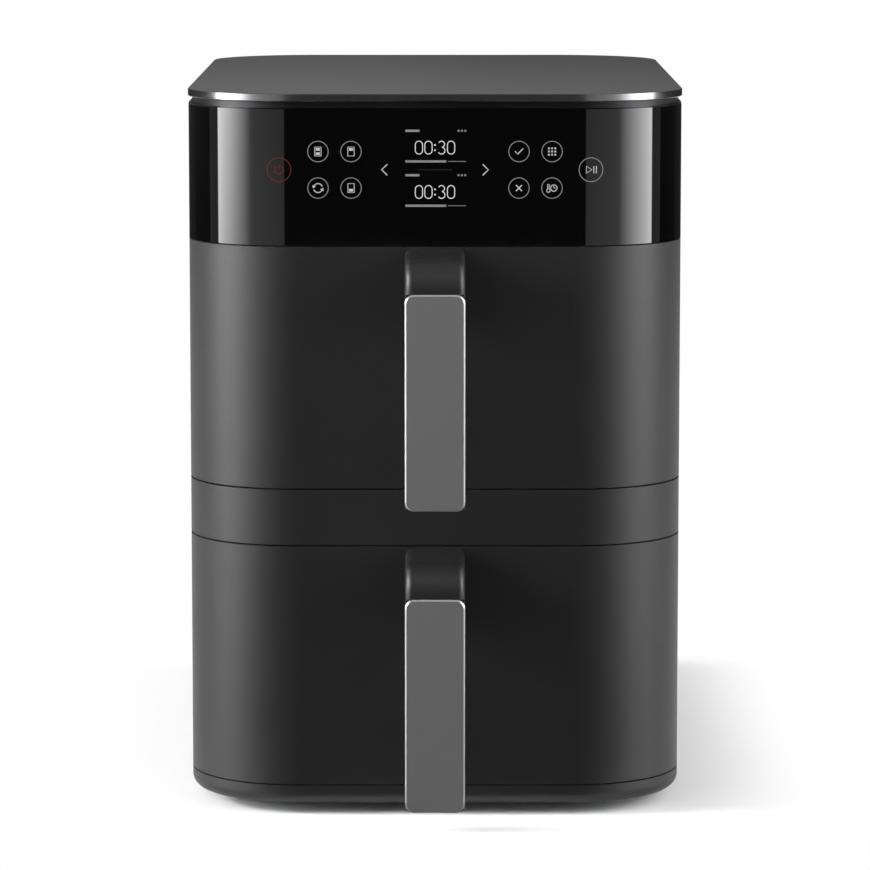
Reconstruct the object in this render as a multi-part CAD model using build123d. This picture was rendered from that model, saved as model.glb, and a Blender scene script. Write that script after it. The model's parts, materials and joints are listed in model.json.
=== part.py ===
from build123d import *
import os
from math import cos, radians, sin, sqrt, tan

# Stacked two-drawer air fryer, in millimetres.
# +Z is up and the drawers open towards -Y.
# The origin is on the counter, under the middle of the box that the whole appliance fills.

# Body
BODY_WIDTH = 270.0
BODY_DEPTH = 420.0
CORNER_RADIUS = 60.0
WALL = 2.4
SEAM = 0.5
WRAP_MARGIN = 3.0
FIT = 0.2
SNUG = 0.02
RUN = 0.3
CUT = 1.0

# Heights of the stack, from the counter up
FOOT_HEIGHT = 6.0
BASE_HEIGHT = 11.0
DRAWER_HEIGHT = 132.0
BAND_HEIGHT = 31.0
PANEL_HEIGHT = 74.0
NECK_HEIGHT = 3.6
LID_THICKNESS = 4.0

# Base, feet, neck and lid
BASE_EDGE_RADIUS = 6.5
BASE_FLOOR = 3.0
BASE_LIP_HEIGHT = 5.0
BASE_LIP_WIDTH = 2.0
RIB_THICKNESS = 3.0
FOOT_RADIUS = 12.0
FOOT_SINK = 1.0
FOOT_INSET = 46.0
FOOT_CHAMFER = 1.0
NECK_INSET = 2.0
NECK_WIDTH = 7.0
LID_OVERHANG = 0.3
LID_SKIN = 1.2
LID_TOP_CHAMFER = 0.2
LID_BOTTOM_CHAMFER = 0.4

# Control panel
GLASS_THICKNESS = 2.0
GLASS_EDGE = 0.6
CARRIER_WALL = 2.5
DISPLAY_WIDTH = 46.0
DISPLAY_HEIGHT = 50.0
DISPLAY_DROP = 31.0
BOARD_THICKNESS = 1.6
TOUCH_BOARD_SPARE = 4.0
TOUCH_BOARD_HEIGHT = 58.0
CARRIER_BOSS_RADIUS = 5.0
CARRIER_BOSS_INSET = 27.0

# Rear cover
REAR_COVER_MARGIN = 7.0
REAR_LIP = 8.0
VENT_WIDTH = 72.0
VENT_SLOT = 3.2
VENT_PITCH = 6.4
VENT_COUNT = 6
GLAND_BORE_RADIUS = 3.8
GLAND_BODY_RADIUS = 7.5
GLAND_FLANGE_RADIUS = 10.5
GLAND_FLANGE = 3.0
GLAND_TAIL = 9.0
GLAND_X = 26.0
GLAND_RISE = 24.0

# Cooking chambers
FRAME_THICKNESS = 2.0
SHEET = 1.0
CHAMBER_SIDE_GAP = 15.0
CHAMBER_FLOOR_RISE = 6.0
CHAMBER_CEILING_DROP = 5.5
CHAMBER_CORNER = 8.0
CHAMBER_CORNER_GAP = 2.2
DUCT_WIDTH = 64.0
DUCT_HEIGHT = 30.0
DUCT_DROP = 24.0
RAIL_REACH = 5.0
RAIL_HEIGHT = 4.0

# Heater, fan and motor over each chamber
HEATER_INSET = 18.0
HEATER_LOOP_GAP = 16.0
HEATER_TUBE = 6.4
HEATER_BEND = 8.0
HEATER_GAP_ANGLE = 40.0
HEATER_DROP = 18.5
HEATER_LEG_RISE = 8.0
FAN_INSET = 8.0
FAN_DISC = 1.2
FAN_BLADES = 8
FAN_BLADE_HEIGHT = 9.0
FAN_BLADE_THICKNESS = 1.2
FAN_BLADE_ROOT = 20.0
FAN_BLADE_SWEEP = 22.0
FAN_HUB_RADIUS = 9.0
FAN_DROP = 2.5
SHAFT_RADIUS = 3.0
SHAFT_CLEARANCE = 0.05
NUT_FLATS = 10.0
NUT_HEIGHT = 4.0
MOTOR_RADIUS = 31.0
MOTOR_HEIGHT = 20.0
MOTOR_NOSE_RADIUS = 10.0
MOTOR_NOSE = 4.0
MOTOR_CAP_RADIUS = 13.0
MOTOR_CAP = 3.0
BRACKET_WIDTH = 88.0
BRACKET_DEPTH = 56.0
BRACKET_SHEET = 1.5
BRACKET_RISE = 6.0
BRACKET_LEG = 7.0
GUARD_INSET = 15.0
GUARD_SHEET = 1.2
GUARD_DROP = 26.0
GUARD_POST = 5.0
GUARD_POST_INSET = 6.0
GUARD_SLOT_LENGTH = 24.0
GUARD_SLOT_WIDTH = 9.0
GUARD_SLOT_RINGS = 3
GUARD_SLOT_SPACING = 29.0
GUARD_SLOTS_PER_RING = 7

# Small parts on the chambers
PROBE_RADIUS = 2.0
PROBE_LENGTH = 16.0
PROBE_FLANGE_RADIUS = 6.0
PROBE_FLANGE = 1.5
PROBE_REAR_GAP = 14.0
FUSE_SIZE = (16.0, 9.0, 7.0)
FUSE_OFFSET = 62.0
REED_SIZE = (18.0, 5.0, 6.0)
MAGNET_SIZE = (12.0, 4.0, 6.0)
SENSOR_OFFSET = 4.5

# Power board on the upper chamber
POWER_BOARD_WIDTH = 150.0
POWER_BOARD_DEPTH = 82.0
POWER_BOARD_RISE = 9.0
POWER_BOARD_OFFSET = 92.0
POWER_POST = 6.0
POWER_POST_INSET = 8.0
TRANSFORMER_SIZE = (36.0, 30.0, 26.0)
RELAY_SIZE = (20.0, 16.0, 18.0)
CAPACITOR_RADIUS = 9.0
CAPACITOR_HEIGHT = 28.0

# Drawers
DRAWER_WALL = 2.5
DRAWER_EDGE = 0.3
BACK_PLATE = 2.5
PLUG_SIDE_GAP = 3.5
PLUG_DEPTH = 11.0
PLUG_WALL = 2.0
PLUG_CORNER = 7.0
LEDGE_INSET = 12.0
LEDGE_HEIGHT = 6.0
GASKET_WIDTH = 4.0
GASKET_CORNER = 9.0
FRONT_BOSS_RADIUS = 4.5
FRONT_BOSS_INSET = 39.0
FRONT_BOSS_EDGE = 14.0

# Basket and crisper plate
BASKET_RIM_TOP = 97.0
BASKET_FLOOR_RISE = 8.0
BASKET_WALL = 1.6
BASKET_DRAFT = 2.5
BASKET_CORNER = 38.0
BASKET_FLOOR_RADIUS = 10.0
BASKET_REAR_GAP = 6.0
RIM_SIDE_GAP = 1.0
RIM_WIDTH = 5.5
PLATE_RISE = 12.0
PLATE_SHEET = 1.5
PLATE_GAP = 3.0
PLATE_CORNER = 30.0
PLATE_SLOT_LENGTH = 24.0
PLATE_SLOT_WIDTH = 6.0
PLATE_SLOT_ROWS = 11
PLATE_SLOT_COLUMNS = 5
PLATE_SLOT_PITCH_X = 36.0
PLATE_SLOT_PITCH_Y = 22.0
PLATE_LEG_RADIUS = 4.0
PLATE_LEG_INSET = 24.0
BUMPER_LENGTH = 18.0
BUMPER_HEIGHT = 7.0
BUMPER_GRIP = 4.0

# Handles
HANDLE_WIDTH = 32.0
HANDLE_REACH = 48.0
HANDLE_TOP_DROP = 1.5
HANDLE_NOSE_DROP = 3.5
HANDLE_NOSE_RADIUS = 16.0
HANDLE_PLATE_DROP = 21.5
HANDLE_PLATE_OVERHANG = 5.0
HANDLE_PLATE_THICKNESS = 3.0
HANDLE_PLATE_PROUD = 1.2
HANDLE_PLATE_CORNER = 4.8
HANDLE_PLATE_EDGE = 0.8
HANDLE_GRIP_THICKNESS = 14.0
HANDLE_ARM_UNDER = 31.0
HANDLE_ARM_ROOT = 34.0
HANDLE_INNER_RADIUS = 10.0
HANDLE_SIDE_RADIUS = 4.0
HANDLE_BACK_RADIUS = 1.5
HANDLE_FOOT_RADIUS = 3.5

# Screws
SCREW_RADIUS = 2.0
SCREW_HEAD_RADIUS = 3.8
SCREW_HEAD = 2.4
SCREW_LENGTH = 14.0
HANDLE_SCREW_X = 9.0
HANDLE_SCREW_DROP = 17.0
COVER_SCREW_INSET = 18.0
COVER_SCREW_RISE = 12.0
COVER_POST = 10.0

# Places along Y
OVERALL_DEPTH = BODY_DEPTH + HANDLE_REACH + GLAND_FLANGE
FRONT_Y = -OVERALL_DEPTH / 2 + HANDLE_REACH
REAR_Y = FRONT_Y + BODY_DEPTH
BODY_Y = (FRONT_Y + REAR_Y) / 2
WRAP_DEPTH = CORNER_RADIUS + WRAP_MARGIN
WRAP_REAR_Y = FRONT_Y + WRAP_DEPTH - SEAM / 2
FRAME_Y = FRONT_Y + WRAP_DEPTH + SEAM / 2
CHAMBER_Y = FRAME_Y + FRAME_THICKNESS
# The chamber's rear corners stay clear of the inside of the casing's rounded corners
CORNER_ROOM = CORNER_RADIUS - WALL - CHAMBER_CORNER_GAP
CHAMBER_REAR_Y = REAR_Y - CORNER_RADIUS + sqrt(CORNER_ROOM**2 - (CORNER_RADIUS - CHAMBER_SIDE_GAP) ** 2)
FAN_Y = (CHAMBER_Y + CHAMBER_REAR_Y) / 2
PLUG_REAR_Y = WRAP_REAR_Y + PLUG_DEPTH

# Places along Z
BASE_TOP = FOOT_HEIGHT + BASE_HEIGHT
LOWER_Z = BASE_TOP
BAND_Z = LOWER_Z + DRAWER_HEIGHT
UPPER_Z = BAND_Z + BAND_HEIGHT
PANEL_Z = UPPER_Z + DRAWER_HEIGHT
PANEL_TOP = PANEL_Z + PANEL_HEIGHT
LID_Z = PANEL_TOP + NECK_HEIGHT
CASING_FOOT = BASE_TOP + SEAM / 2

# Sizes across the body that follow its width
CHAMBER_WIDTH = BODY_WIDTH - 2 * CHAMBER_SIDE_GAP
REAR_COVER_WIDTH = BODY_WIDTH - 2 * (CORNER_RADIUS + REAR_COVER_MARGIN)
COVER_SCREW_X = REAR_COVER_WIDTH / 2 - COVER_SCREW_INSET
CARRIER_BOSS_X = BODY_WIDTH / 2 - CARRIER_BOSS_INSET
FRONT_BOSS_X = BODY_WIDTH / 2 - FRONT_BOSS_INSET
SENSOR_X = CHAMBER_WIDTH / 2 + SENSOR_OFFSET
TOUCH_BOARD_WIDTH = BODY_WIDTH - 2 * CORNER_RADIUS - 2 * TOUCH_BOARD_SPARE

# Inner sizes that several pieces share
CASING_HALF = BODY_WIDTH / 2 - WALL
CHAMBER_INNER_HALF = CHAMBER_WIDTH / 2 - SHEET
CHAMBER_INNER_TOP = DRAWER_HEIGHT - CHAMBER_CEILING_DROP
CEILING_TOP = CHAMBER_INNER_TOP + SHEET
RIM_HALF = CHAMBER_INNER_HALF - RIM_SIDE_GAP
BASKET_HALF = RIM_HALF - RIM_WIDTH
BASKET_FRONT_Y = PLUG_REAR_Y + RIM_WIDTH
BASKET_REAR_Y = CHAMBER_REAR_Y - SHEET - BASKET_REAR_GAP - RIM_WIDTH
BASKET_Y = (BASKET_FRONT_Y + BASKET_REAR_Y) / 2
BASKET_LENGTH = BASKET_REAR_Y - BASKET_FRONT_Y
PLATE_Z = BASKET_FLOOR_RISE + BASKET_WALL + PLATE_RISE
LEDGE_HALF = RIM_HALF - BASKET_CORNER - RIM_WIDTH - LEDGE_INSET
GUARD_RADIUS = CHAMBER_INNER_HALF - GUARD_INSET
GUARD_POST_CIRCLE = GUARD_RADIUS - GUARD_POST_INSET
HEATER_OUTER_RADIUS = GUARD_RADIUS - HEATER_INSET
HEATER_INNER_RADIUS = HEATER_OUTER_RADIUS - HEATER_LOOP_GAP
FAN_RADIUS = HEATER_INNER_RADIUS - FAN_INSET


def block(x0, x1, y0, y1, z0, z1):
    """A box between two opposite corners."""
    middle = Pos((x0 + x1) / 2, (y0 + y1) / 2, (z0 + z1) / 2)
    return middle * Box(x1 - x0, y1 - y0, z1 - z0)


def pillar(radius, x, y, z0, z1):
    """An upright cylinder between two heights."""
    return Pos(x, y, (z0 + z1) / 2) * Cylinder(radius, z1 - z0)


def post(width, x, y, z0, z1):
    """An upright square post between two heights."""
    return Pos(x, y, (z0 + z1) / 2) * Box(width, width, z1 - z0)


def rod_y(radius, x, z, y0, y1):
    """A cylinder that lies along Y."""
    return Pos(x, (y0 + y1) / 2, z) * Rot(90, 0, 0) * Cylinder(radius, y1 - y0)


def tube_box(half, y0, y1, z0, z1, corner):
    """A box centred on X with its edges along Y rounded."""
    solid = block(-half, half, y0, y1, z0, z1)
    return fillet(solid.edges().filter_by(Axis.Y), corner)


def slab(sketch, z0, z1):
    """A flat sketch made solid between two heights."""
    return extrude(Pos(0, 0, z0) * sketch, z1 - z0)


def plan(inset=0.0):
    """The body's outline seen from above, drawn in by an even inset."""
    outline = RectangleRounded(BODY_WIDTH - 2 * inset, BODY_DEPTH - 2 * inset, CORNER_RADIUS - inset)
    return Pos(0, BODY_Y) * outline


def region(x0, x1, y0, y1):
    """A rectangle in plan between two opposite corners."""
    return Pos((x0 + x1) / 2, (y0 + y1) / 2) * Rectangle(x1 - x0, y1 - y0)


def front_plan(inset, rear_y):
    """The rounded front of the body's outline, cut off straight behind."""
    return plan(inset) & region(-BODY_WIDTH, BODY_WIDTH, FRONT_Y - BODY_DEPTH, rear_y)


def rear_ring(inner_inset, outer_inset, front_y):
    """The wall between two outlines, behind a straight cut."""
    wall = plan(outer_inset) - plan(inner_inset)
    return wall & region(-BODY_WIDTH, BODY_WIDTH, front_y, REAR_Y + BODY_DEPTH)


def corner_pairs(half_x, y0, y1):
    """The four corners of a rectangle that is centred on X."""
    return [(x, y) for x in (-half_x, half_x) for y in (y0, y1)]


def screw_y(x, z, seat_y, direction):
    """A screw along Y: its head sits on seat_y and its shank runs in the given direction."""
    tip_y = seat_y + direction * SCREW_LENGTH
    head_y = seat_y - direction * SCREW_HEAD
    shank = rod_y(SCREW_RADIUS, x, z, min(seat_y, tip_y), max(seat_y, tip_y))
    head = rod_y(SCREW_HEAD_RADIUS, x, z, min(seat_y, head_y), max(seat_y, head_y))
    return shank + head


# Base and feet
FOOT_PLACES = corner_pairs(BODY_WIDTH / 2 - FOOT_INSET, FRONT_Y + FOOT_INSET, REAR_Y - FOOT_INSET)


def base_tray():
    """Bottom tray: rounded lower edge, closed deck under the drawer front, ribs under the chamber."""
    top = BASE_TOP - SEAM / 2
    tray = slab(plan(), FOOT_HEIGHT, top)
    tray = fillet(tray.edges().group_by(Axis.Z)[0], BASE_EDGE_RADIUS)
    lip_outer = WALL + FIT
    lip_inner = lip_outer + BASE_LIP_WIDTH
    inner_front = FRAME_Y + FRAME_THICKNESS + FIT
    hollow = plan(lip_inner) & region(-BODY_WIDTH, BODY_WIDTH, inner_front, REAR_Y)
    tray -= slab(hollow, FOOT_HEIGHT + BASE_FLOOR, top)
    lip = rear_ring(lip_inner, lip_outer, inner_front)
    tray += slab(lip, top, top + BASE_LIP_HEIGHT)
    rib_top = LOWER_Z + CHAMBER_FLOOR_RISE - SHEET
    for y in (FAN_Y - FOOT_INSET, FAN_Y + FOOT_INSET):
        tray += block(-CHAMBER_WIDTH / 2, CHAMBER_WIDTH / 2, y, y + RIB_THICKNESS,
                      FOOT_HEIGHT + BASE_FLOOR, rib_top)
    for x, y in FOOT_PLACES:
        tray -= pillar(FOOT_RADIUS + FIT, x, y, FOOT_HEIGHT, FOOT_HEIGHT + FOOT_SINK)
    for x, z in cover_screw_places()[::2]:
        tray += cover_post(x, FOOT_HEIGHT + BASE_FLOOR / 2, z + COVER_POST / 2)
        tray -= rod_y(SCREW_RADIUS + SNUG, x, z, REAR_Y - WALL - SCREW_LENGTH, REAR_Y)
    return tray


def rubber_feet():
    """Four round feet let into the underside of the base."""
    feet = []
    for x, y in FOOT_PLACES:
        foot = pillar(FOOT_RADIUS, x, y, 0, FOOT_HEIGHT + FOOT_SINK)
        feet.append(chamfer(foot.edges().group_by(Axis.Z)[0], FOOT_CHAMFER))
    return Compound(feet)


# Casing
def side_panel(side):
    """One side of the casing with its rear corner; side is -1 for left and 1 for right."""
    inner_x = REAR_COVER_WIDTH / 2 + SEAM
    outer_x = BODY_WIDTH
    keep = region(min(side * inner_x, side * outer_x), max(side * inner_x, side * outer_x),
                  FRAME_Y, REAR_Y + BODY_DEPTH)
    wall = (plan() - plan(WALL)) & keep
    return slab(wall, CASING_FOOT, PANEL_TOP)


def cover_screw_places():
    """The four screws through the corners of the rear cover."""
    heights = (BASE_TOP + COVER_SCREW_RISE, PANEL_TOP - COVER_SCREW_RISE)
    return [(x, z) for x in (-COVER_SCREW_X, COVER_SCREW_X) for z in heights]


def cover_post(x, z0, z1):
    """A post behind the rear cover that takes one of its screws."""
    half = COVER_POST / 2
    back_y = REAR_Y - WALL
    return block(x - half, x + half, back_y - SCREW_LENGTH, back_y, z0, z1)


def vent_heights():
    """The middle of each chamber's exhaust duct, and of the air inlet over the upper motor."""
    ducts = [z + CEILING_TOP - DUCT_DROP - DUCT_HEIGHT / 2 for z in (LOWER_Z, UPPER_Z)]
    return ducts + [PANEL_Z + PANEL_HEIGHT / 2]


def rear_cover():
    """Flat rear panel with three fields of slots, a gland hole, and lips behind the side panels."""
    half = REAR_COVER_WIDTH / 2
    cover = block(-half, half, REAR_Y - WALL, REAR_Y, CASING_FOOT, PANEL_TOP)
    lip_y = REAR_Y - WALL - FIT
    for side in (-1, 1):
        edges = sorted((side * (half - REAR_LIP), side * (half + REAR_LIP)))
        cover += block(*edges, lip_y - WALL, lip_y, CASING_FOOT + BASE_LIP_HEIGHT + SEAM, PANEL_TOP)
        inner = sorted((side * (half - REAR_LIP), side * (half - SEAM)))
        cover += block(*inner, lip_y, REAR_Y - WALL, CASING_FOOT + BASE_LIP_HEIGHT + SEAM, PANEL_TOP)
    rows = GridLocations(0, VENT_PITCH, 1, VENT_COUNT)
    field = Sketch() + rows * SlotOverall(VENT_WIDTH, VENT_SLOT)
    for middle in vent_heights():
        place = Plane((0, REAR_Y, middle), x_dir=(-1, 0, 0), z_dir=(0, 1, 0))
        cover -= extrude(place * field, WALL, both=True)
    hole_y = (REAR_Y - 2 * WALL, REAR_Y + WALL)
    cover -= rod_y(GLAND_BODY_RADIUS + FIT, GLAND_X, BASE_TOP + GLAND_RISE, *hole_y)
    for x, z in cover_screw_places():
        cover -= rod_y(SCREW_RADIUS + FIT, x, z, *hole_y)
    return cover


def cover_screws():
    """Screws that hold the rear cover to its posts."""
    return Compound([screw_y(x, z, REAR_Y, -1) for x, z in cover_screw_places()])


def cord_gland():
    """Flanged bush round the cable hole in the rear cover."""
    z = BASE_TOP + GLAND_RISE
    gland = rod_y(GLAND_BODY_RADIUS, GLAND_X, z, REAR_Y - WALL - GLAND_TAIL, REAR_Y)
    gland += rod_y(GLAND_FLANGE_RADIUS, GLAND_X, z, REAR_Y, REAR_Y + GLAND_FLANGE)
    bore_y = (REAR_Y - WALL - GLAND_TAIL - CUT, REAR_Y + GLAND_FLANGE + CUT)
    return gland - rod_y(GLAND_BORE_RADIUS, GLAND_X, z, *bore_y)


def centre_band():
    """Fixed band between the drawers: a hollow wrap with bosses on the frame behind it."""
    low, high = BAND_Z + SEAM / 2, UPPER_Z - SEAM / 2
    band = slab(front_plan(0, WRAP_REAR_Y), low, high)
    band = chamfer(band.edges().group_by(Axis.Z)[0] + band.edges().group_by(Axis.Z)[-1], DRAWER_EDGE)
    band -= slab(front_plan(DRAWER_WALL, WRAP_REAR_Y + CUT), low + DRAWER_WALL, high - DRAWER_WALL)
    for x in (-FRONT_BOSS_X, 0, FRONT_BOSS_X):
        boss = rod_y(FRONT_BOSS_RADIUS, x, (low + high) / 2, FRONT_Y + DRAWER_WALL / 2, FRAME_Y)
        band += boss - plan_outside(low, high)
    return band


def plan_outside(low, high):
    """Everything round the body's inner outline, to trim bosses that start in a curved wall."""
    margin = 2 * BODY_WIDTH
    around = region(-margin, margin, -margin, margin) - plan(DRAWER_WALL / 2)
    return slab(around, low, high)


# Control panel
def control_glass():
    """Dark glass that wraps round both front corners."""
    glass = slab(front_plan(0, WRAP_REAR_Y), PANEL_Z + SEAM / 2, PANEL_TOP)
    glass = chamfer(glass.edges().group_by(Axis.Z)[-1], GLASS_EDGE)
    glass -= slab(front_plan(GLASS_THICKNESS, WRAP_REAR_Y + CUT), PANEL_Z, PANEL_TOP + CUT)
    return glass


DISPLAY_Z = PANEL_TOP - DISPLAY_DROP
CARRIER_INSET = GLASS_THICKNESS + FIT
CARRIER_BACK_Y = FRONT_Y + CARRIER_INSET + CARRIER_WALL


def panel_carrier():
    """Moulded carrier behind the glass: closed below, with a display window and bosses on the frame."""
    low, high = PANEL_Z + SEAM / 2, PANEL_TOP
    carrier = slab(front_plan(CARRIER_INSET, WRAP_REAR_Y), low, high)
    inner = CARRIER_INSET + CARRIER_WALL
    carrier -= slab(front_plan(inner, WRAP_REAR_Y + CUT), low + CARRIER_WALL, high + CUT)
    half_w, half_h = DISPLAY_WIDTH / 2 + FIT, DISPLAY_HEIGHT / 2 + FIT
    carrier -= block(-half_w, half_w, FRONT_Y, CARRIER_BACK_Y + CUT, DISPLAY_Z - half_h, DISPLAY_Z + half_h)
    for x in (-CARRIER_BOSS_X, CARRIER_BOSS_X):
        boss_z = low + CARRIER_WALL + CARRIER_BOSS_RADIUS
        boss = rod_y(CARRIER_BOSS_RADIUS, x, boss_z, FRONT_Y + WRAP_DEPTH / 2, FRAME_Y)
        foot = block(x - CARRIER_WALL / 2, x + CARRIER_WALL / 2, FRONT_Y + WRAP_DEPTH / 2, WRAP_REAR_Y,
                     low + CARRIER_WALL / 2, boss_z)
        carrier += boss + foot
    return carrier


def display_module():
    """Screen block that fills the carrier's window."""
    half_w, half_h = DISPLAY_WIDTH / 2, DISPLAY_HEIGHT / 2
    return block(-half_w, half_w, FRONT_Y + CARRIER_INSET, CARRIER_BACK_Y,
                 DISPLAY_Z - half_h, DISPLAY_Z + half_h)


def touch_board():
    """Circuit board behind the carrier, with the screen and key electrodes on its face."""
    half_w, half_h = TOUCH_BOARD_WIDTH / 2, TOUCH_BOARD_HEIGHT / 2
    return block(-half_w, half_w, CARRIER_BACK_Y, CARRIER_BACK_Y + BOARD_THICKNESS,
                 DISPLAY_Z - half_h, DISPLAY_Z + half_h)


# Neck and lid
def lid_neck():
    """Recessed collar that leaves a shadow gap under the lid, with two posts for the rear cover."""
    neck = slab(plan(NECK_INSET) - plan(NECK_INSET + NECK_WIDTH), PANEL_TOP, LID_Z)
    for x, z in cover_screw_places()[1::2]:
        neck += cover_post(x, z - COVER_POST / 2, PANEL_TOP + NECK_HEIGHT / 2)
        neck -= rod_y(SCREW_RADIUS + SNUG, x, z, REAR_Y - WALL - SCREW_LENGTH, REAR_Y)
    return neck


def top_lid():
    """Flat lid with a bevelled rim, hollow underneath inside the collar it rests on."""
    lid = slab(plan(-LID_OVERHANG), LID_Z, LID_Z + LID_THICKNESS)
    lid = chamfer(lid.edges().group_by(Axis.Z)[-1], LID_TOP_CHAMFER)
    lid = chamfer(lid.edges().group_by(Axis.Z)[0], LID_BOTTOM_CHAMFER)
    hollow = plan(NECK_INSET + NECK_WIDTH)
    return lid - slab(hollow, LID_Z, LID_Z + LID_THICKNESS - LID_SKIN)


# Frame and chambers
def front_frame():
    """Sheet frame behind the drawer fronts, with a window for each chamber and for the wiring."""
    frame = block(-CASING_HALF, CASING_HALF, FRAME_Y, CHAMBER_Y, BASE_TOP - SEAM / 2, PANEL_TOP - FIT)
    for z in (LOWER_Z, UPPER_Z):
        frame -= tube_box(CHAMBER_INNER_HALF, FRAME_Y - CUT, CHAMBER_Y + CUT,
                          z + CHAMBER_FLOOR_RISE, z + CHAMBER_INNER_TOP, CHAMBER_CORNER)
    window_low = PANEL_Z + CHAMBER_CEILING_DROP + 2 * CARRIER_BOSS_RADIUS
    frame -= block(-CARRIER_BOSS_X, CARRIER_BOSS_X, FRAME_Y - CUT, CHAMBER_Y + CUT,
                   window_low, PANEL_TOP - CHAMBER_CORNER)
    return frame


def heater_ends():
    """Where each loop of the heating element starts, and the way back from there to its leg."""
    angle = radians(-90 - HEATER_GAP_ANGLE / 2)
    back = Vector(-sin(angle), cos(angle), 0)
    return [(Vector(radius * cos(angle), FAN_Y + radius * sin(angle), 0), back)
            for radius in (HEATER_OUTER_RADIUS, HEATER_INNER_RADIUS)]


def chamber(z):
    """Sheet-steel cooking chamber, open at the front, with holes for the shaft, heater and exhaust."""
    half = CHAMBER_WIDTH / 2
    shell = tube_box(half, CHAMBER_Y, CHAMBER_REAR_Y, z + CHAMBER_FLOOR_RISE - SHEET, z + CEILING_TOP,
                     CHAMBER_CORNER + SHEET)
    shell -= tube_box(CHAMBER_INNER_HALF, CHAMBER_Y - CUT, CHAMBER_REAR_Y - SHEET,
                      z + CHAMBER_FLOOR_RISE, z + CHAMBER_INNER_TOP, CHAMBER_CORNER)
    ceiling = (z + CHAMBER_INNER_TOP - CUT, z + CEILING_TOP + CUT)
    shell -= pillar(MOTOR_NOSE_RADIUS, 0, FAN_Y, *ceiling)
    for point, back in heater_ends():
        leg = point + back * HEATER_BEND
        shell -= pillar(HEATER_TUBE / 2 + FIT, leg.X, leg.Y, *ceiling)
    duct_top = z + CEILING_TOP - DUCT_DROP
    shell -= block(-DUCT_WIDTH / 2, DUCT_WIDTH / 2, CHAMBER_REAR_Y - 2 * SHEET, CHAMBER_REAR_Y + CUT,
                   duct_top - DUCT_HEIGHT, duct_top)
    return shell


def rails(z):
    """The two runners that the basket's rim slides on."""
    top = z + BASKET_RIM_TOP - BASKET_WALL - RUN
    pair = []
    for side in (-1, 1):
        edges = sorted((side * (CHAMBER_INNER_HALF - RAIL_REACH), side * CHAMBER_INNER_HALF))
        pair.append(block(*edges, PLUG_REAR_Y + SEAM, CHAMBER_REAR_Y - SHEET, top - RAIL_HEIGHT, top))
    return Compound(pair)


def exhaust_duct(z):
    """Short sheet duct from the chamber to the rear vents."""
    half = DUCT_WIDTH / 2
    top = z + CEILING_TOP - DUCT_DROP
    outer = block(-half - SHEET, half + SHEET, CHAMBER_REAR_Y, REAR_Y - WALL,
                  top - DUCT_HEIGHT - SHEET, top + SHEET)
    return outer - block(-half, half, CHAMBER_REAR_Y - CUT, REAR_Y, top - DUCT_HEIGHT, top)


# Heater, guard, fan and motor
def heating_element(z):
    """Sheathed element: an outer and an inner loop, joined by a return bend, with two legs up."""
    level = Vector(0, 0, z + CEILING_TOP - HEATER_DROP)
    leg_top = HEATER_DROP + HEATER_LEG_RISE
    legs = []
    for point, back in heater_ends():
        bend_centre = point + level + Vector(0, 0, HEATER_BEND)
        bend_start = bend_centre + back * HEATER_BEND
        slope = (back - Vector(0, 0, 1)).normalized()
        straight = Line(bend_start + Vector(0, 0, leg_top - HEATER_BEND), bend_start)
        bend = ThreePointArc(bend_start, bend_centre + slope * HEATER_BEND, point + level)
        legs.append((straight, bend))
    start, turn = -90 - HEATER_GAP_ANGLE / 2, HEATER_GAP_ANGLE - 360
    centre = Vector(0, FAN_Y, 0) + level
    outer = CenterArc(centre, HEATER_OUTER_RADIUS, start, turn)
    inner = CenterArc(centre, HEATER_INNER_RADIUS, start, turn)
    crown = (outer @ 1 + inner @ 1) / 2 + (outer % 1) * ((HEATER_OUTER_RADIUS - HEATER_INNER_RADIUS) / 2)
    return_bend = ThreePointArc(outer @ 1, crown, inner @ 1)
    path = Wire([*legs[0], outer, return_bend, inner, legs[1][1], legs[1][0]])
    section = Plane(origin=path @ 0, z_dir=path % 0) * Circle(HEATER_TUBE / 2)
    return sweep(section, path)


def heater_guard(z):
    """Slotted guard plate under the heater, hung from the ceiling on four posts."""
    level = z + CEILING_TOP - GUARD_DROP - GUARD_SHEET
    disc = Circle(GUARD_RADIUS)
    for ring in range(1, GUARD_SLOT_RINGS + 1):
        spokes = PolarLocations(ring * GUARD_SLOT_SPACING, ring * GUARD_SLOTS_PER_RING)
        disc -= spokes * Rectangle(GUARD_SLOT_LENGTH, GUARD_SLOT_WIDTH)
    guard = slab(Pos(0, FAN_Y) * disc, level, level + GUARD_SHEET)
    for quarter in range(4):
        angle = radians(45 + 90 * quarter)
        x, y = GUARD_POST_CIRCLE * cos(angle), FAN_Y + GUARD_POST_CIRCLE * sin(angle)
        guard += post(GUARD_POST, x, y, level, z + CHAMBER_INNER_TOP)
    return guard


def fan(z):
    """Pressed fan: a disc with swept blades hanging from it, on a hub."""
    top = z + CHAMBER_INNER_TOP - FAN_DROP
    wheel = pillar(FAN_RADIUS, 0, FAN_Y, top - FAN_DISC, top)
    low = top - FAN_DISC - FAN_BLADE_HEIGHT
    wheel += pillar(FAN_HUB_RADIUS, 0, FAN_Y, low, top)
    blade_length = FAN_RADIUS - FAN_BLADE_ROOT
    blade = block(0, blade_length, 0, FAN_BLADE_THICKNESS, low, top)
    blade = Pos(FAN_BLADE_ROOT, 0, 0) * Rot(0, 0, FAN_BLADE_SWEEP) * blade
    for index in range(FAN_BLADES):
        wheel += Pos(0, FAN_Y, 0) * Rot(0, 0, 360 / FAN_BLADES * index) * blade
    return wheel - pillar(SHAFT_RADIUS + SNUG, 0, FAN_Y, low - CUT, top + CUT)


def motor_seat(z):
    """The height of the motor bracket's upper face."""
    return z + CEILING_TOP + BRACKET_RISE + BRACKET_SHEET


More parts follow.
